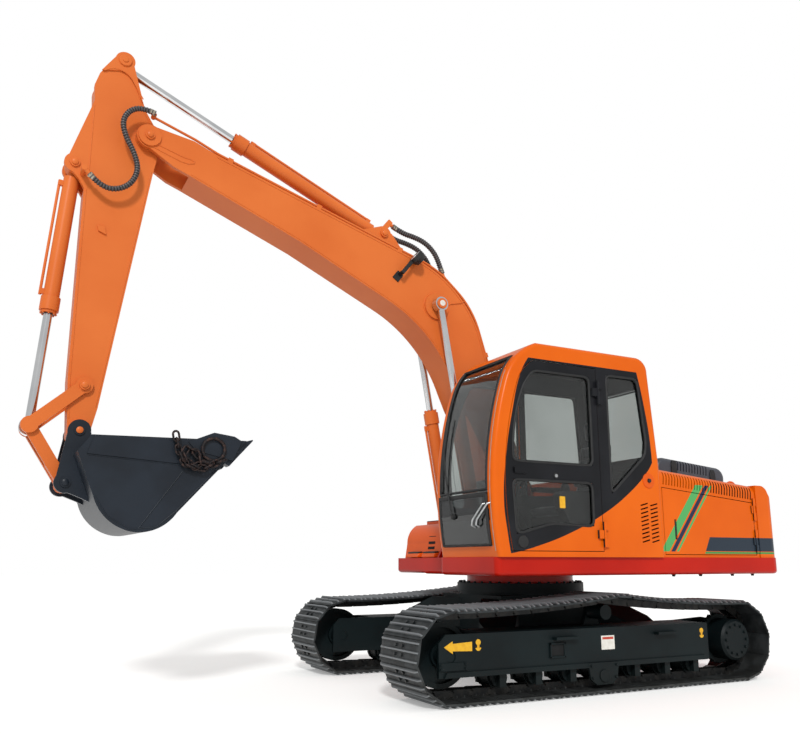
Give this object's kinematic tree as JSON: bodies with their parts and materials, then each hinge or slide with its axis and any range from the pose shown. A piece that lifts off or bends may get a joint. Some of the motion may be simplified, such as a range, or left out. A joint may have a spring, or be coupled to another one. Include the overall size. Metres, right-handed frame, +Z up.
{
  "type": "crawler excavator",
  "caption": "Tracked hydraulic excavator with a slewing cab, bent boom, arm and linked bucket, standing on its tracks.",
  "frame": {"origin": "on the ground, under the middle of the machine's whole length and width", "axes": "+X forward along the tracks and the boom, +Y to the cab side, +Z up"},
  "size_m": [6.8282, 2.6, 5.2559],
  "materials": {
    "bare_steel": "turned",
    "bucket_paint": "satin",
    "cast_iron": "cast",
    "chrome_rod": "polished",
    "dark_paint": "satin",
    "glass": "tinted",
    "grey_plastic": "moulded",
    "hose_rubber": "ribbed",
    "orange_paint": "gloss",
    "seat_cloth": "woven",
    "track_steel": "worn steel",
    "trim_plastic": "moulded"
  },
  "bodies": {
    "arm": {"arm": "orange_paint", "arm_hose_left": "hose_rubber", "arm_hose_right": "hose_rubber", "bucket_cylinder_pin": "bare_steel", "bucket_pin": "bare_steel", "rocker_pin": "bare_steel"},
    "arm_barrel": {"arm_cylinder_barrel": "orange_paint"},
    "boom": {"arm_cylinder_pin": "bare_steel", "arm_pin": "bare_steel", "boom": "orange_paint", "boom_hose_left": "hose_rubber", "boom_hose_right": "hose_rubber", "boom_lines": "orange_paint", "work_lamp": "grey_plastic"},
    "arm_rod": {"arm_cylinder_rod": "chrome_rod"},
    "upper": {"boom_base_pin": "bare_steel", "boom_foot_pin": "bare_steel", "cab_glass": "glass", "cab_shell": "orange_paint", "console_left": "trim_plastic", "console_right": "trim_plastic", "counterweight": "orange_paint", "engine_block": "cast_iron", "fuel_tank": "orange_paint", "hood": "orange_paint", "levers": "trim_plastic", "monitor": "trim_plastic", "rear_glass": "glass", "seat_back": "seat_cloth", "seat_base": "trim_plastic", "seat_cushion": "seat_cloth", "tool_box": "orange_paint", "upper_frame": "orange_paint"},
    "boom_barrel_left": {"boom_cylinder_left_barrel": "orange_paint"},
    "boom_rod_left": {"boom_cylinder_left_rod": "chrome_rod"},
    "boom_barrel_right": {"boom_cylinder_right_barrel": "orange_paint"},
    "boom_rod_right": {"boom_cylinder_right_rod": "chrome_rod"},
    "bucket": {"bucket": "bucket_paint", "link_pin": "bare_steel"},
    "bucket_barrel": {"bucket_cylinder_barrel": "orange_paint"},
    "bucket_rod": {"bucket_cylinder_rod": "chrome_rod"},
    "bucket_link": {"bucket_link": "orange_paint"},
    "cab_door": {"cab_door": "orange_paint", "door_glass": "glass"},
    "undercarriage": {"carbody": "dark_paint", "idler_left": "dark_paint", "idler_right": "dark_paint", "rollers_left": "dark_paint", "rollers_right": "dark_paint", "slew_ring": "dark_paint", "sprocket_left": "dark_paint", "sprocket_right": "dark_paint", "track_frame_left": "dark_paint", "track_frame_right": "dark_paint", "track_left": "track_steel", "track_right": "track_steel"},
    "engine_cover": {"engine_cover": "grey_plastic"},
    "rocker": {"rocker": "orange_paint"},
    "side_door_left": {"side_door_left": "orange_paint"},
    "side_door_right": {"side_door_right": "orange_paint"}
  },
  "joints": [
    {"name": "slew", "type": "hinge", "parent": "undercarriage", "child": "upper", "pos_m": [-1.1, 0, 0.8], "axis": [0, 0, 1], "continuous": true},
    {"name": "boom", "type": "hinge", "parent": "upper", "child": "boom", "pos_m": [-1, 0, 1.68], "axis": [0, -1, 0], "range_deg": [-78, 24]},
    {"name": "arm", "type": "hinge", "parent": "boom", "child": "arm", "pos_m": [2.63018, 0, 4.51009], "axis": [0, 1, 0], "range_deg": [-70, 40]},
    {"name": "bucket", "type": "hinge", "parent": "arm", "child": "bucket", "pos_m": [2.99013, 0, 1.99977], "axis": [0, 1, 0], "range_deg": [-132, 29]},
    {"name": "boom_barrel_left", "type": "hinge", "parent": "upper", "child": "boom_barrel_left", "pos_m": [-0.48, 0.25, 1.28], "axis": [0, -1, 0], "range_deg": [-77.7, 23.91]},
    {"name": "boom_rod_left", "type": "slide", "parent": "boom_barrel_left", "child": "boom_rod_left", "axis": [0.1741, 0, 0.9847], "range_m": [-0.791, 0.2435]},
    {"name": "boom_barrel_right", "type": "hinge", "parent": "upper", "child": "boom_barrel_right", "pos_m": [-0.48, -0.25, 1.28], "axis": [0, -1, 0], "range_deg": [-77.7, 23.91]},
    {"name": "boom_rod_right", "type": "slide", "parent": "boom_barrel_right", "child": "boom_rod_right", "axis": [0.1741, 0, 0.9847], "range_m": [-0.791, 0.2435]},
    {"name": "arm_barrel", "type": "hinge", "parent": "boom", "child": "arm_barrel", "pos_m": [0.42416, 0, 4.09988], "axis": [0, 1, 0], "range_deg": [-9.18, 5.25]},
    {"name": "arm_rod", "type": "slide", "parent": "arm_barrel", "child": "arm_rod", "axis": [0.9155, 0, 0.4024], "range_m": [-0.6882, 0.3933]},
    {"name": "bucket_barrel", "type": "hinge", "parent": "arm", "child": "bucket_barrel", "pos_m": [3.18006, 0, 4.16969], "axis": [0, 1, 0], "range_deg": [-3.93, 0.87]},
    {"name": "bucket_rod", "type": "slide", "parent": "bucket_barrel", "child": "bucket_rod", "axis": [0.07, 0, -0.9975], "range_m": [-0.6952, 0.1528]},
    {"name": "rocker", "type": "hinge", "parent": "arm", "child": "rocker", "pos_m": [2.97425, 0, 2.35713], "axis": [0, 1, 0], "range_deg": [-97.69, 21.47]},
    {"name": "bucket_link", "type": "hinge", "parent": "bucket", "child": "bucket_link", "pos_m": [3.0602, 0, 1.60976], "axis": [0, 1, 0], "range_deg": [-20.82, 94.71]},
    {"name": "cab_door", "type": "hinge", "parent": "upper", "child": "cab_door", "pos_m": [-1.077, 1.274, 1.9], "axis": [0, 0, 1], "range_deg": [0, 165]},
    {"name": "side_door_left", "type": "hinge", "parent": "upper", "child": "side_door_left", "pos_m": [-2.987, 1.211, 1.4], "axis": [0, 0, 1], "range_deg": [0, 110]},
    {"name": "side_door_right", "type": "hinge", "parent": "upper", "child": "side_door_right", "pos_m": [-2.987, -1.211, 1.4], "axis": [0, 0, -1], "range_deg": [0, 110]},
    {"name": "engine_cover", "type": "hinge", "parent": "upper", "child": "engine_cover", "pos_m": [-2.09982, -0.564, 1.8559], "axis": [0.9962, 0, 0.0877], "range_deg": [0, 65]}
  ],
  "couplings": [
    {"joint": "boom_barrel_left", "follows": "boom", "ratio": 0.996},
    {"joint": "boom_rod_left", "follows": "boom", "m_per_rad": 0.581},
    {"joint": "boom_barrel_right", "follows": "boom", "ratio": 0.996},
    {"joint": "boom_rod_right", "follows": "boom", "m_per_rad": 0.581},
    {"joint": "arm_barrel", "follows": "arm", "ratio": 0.131},
    {"joint": "arm_rod", "follows": "arm", "m_per_rad": 0.5632},
    {"joint": "bucket_barrel", "follows": "bucket", "ratio": 0.0297},
    {"joint": "bucket_rod", "follows": "bucket", "m_per_rad": 0.3017},
    {"joint": "rocker", "follows": "bucket", "ratio": 0.74},
    {"joint": "bucket_link", "follows": "bucket", "ratio": -0.7174}
  ]
}
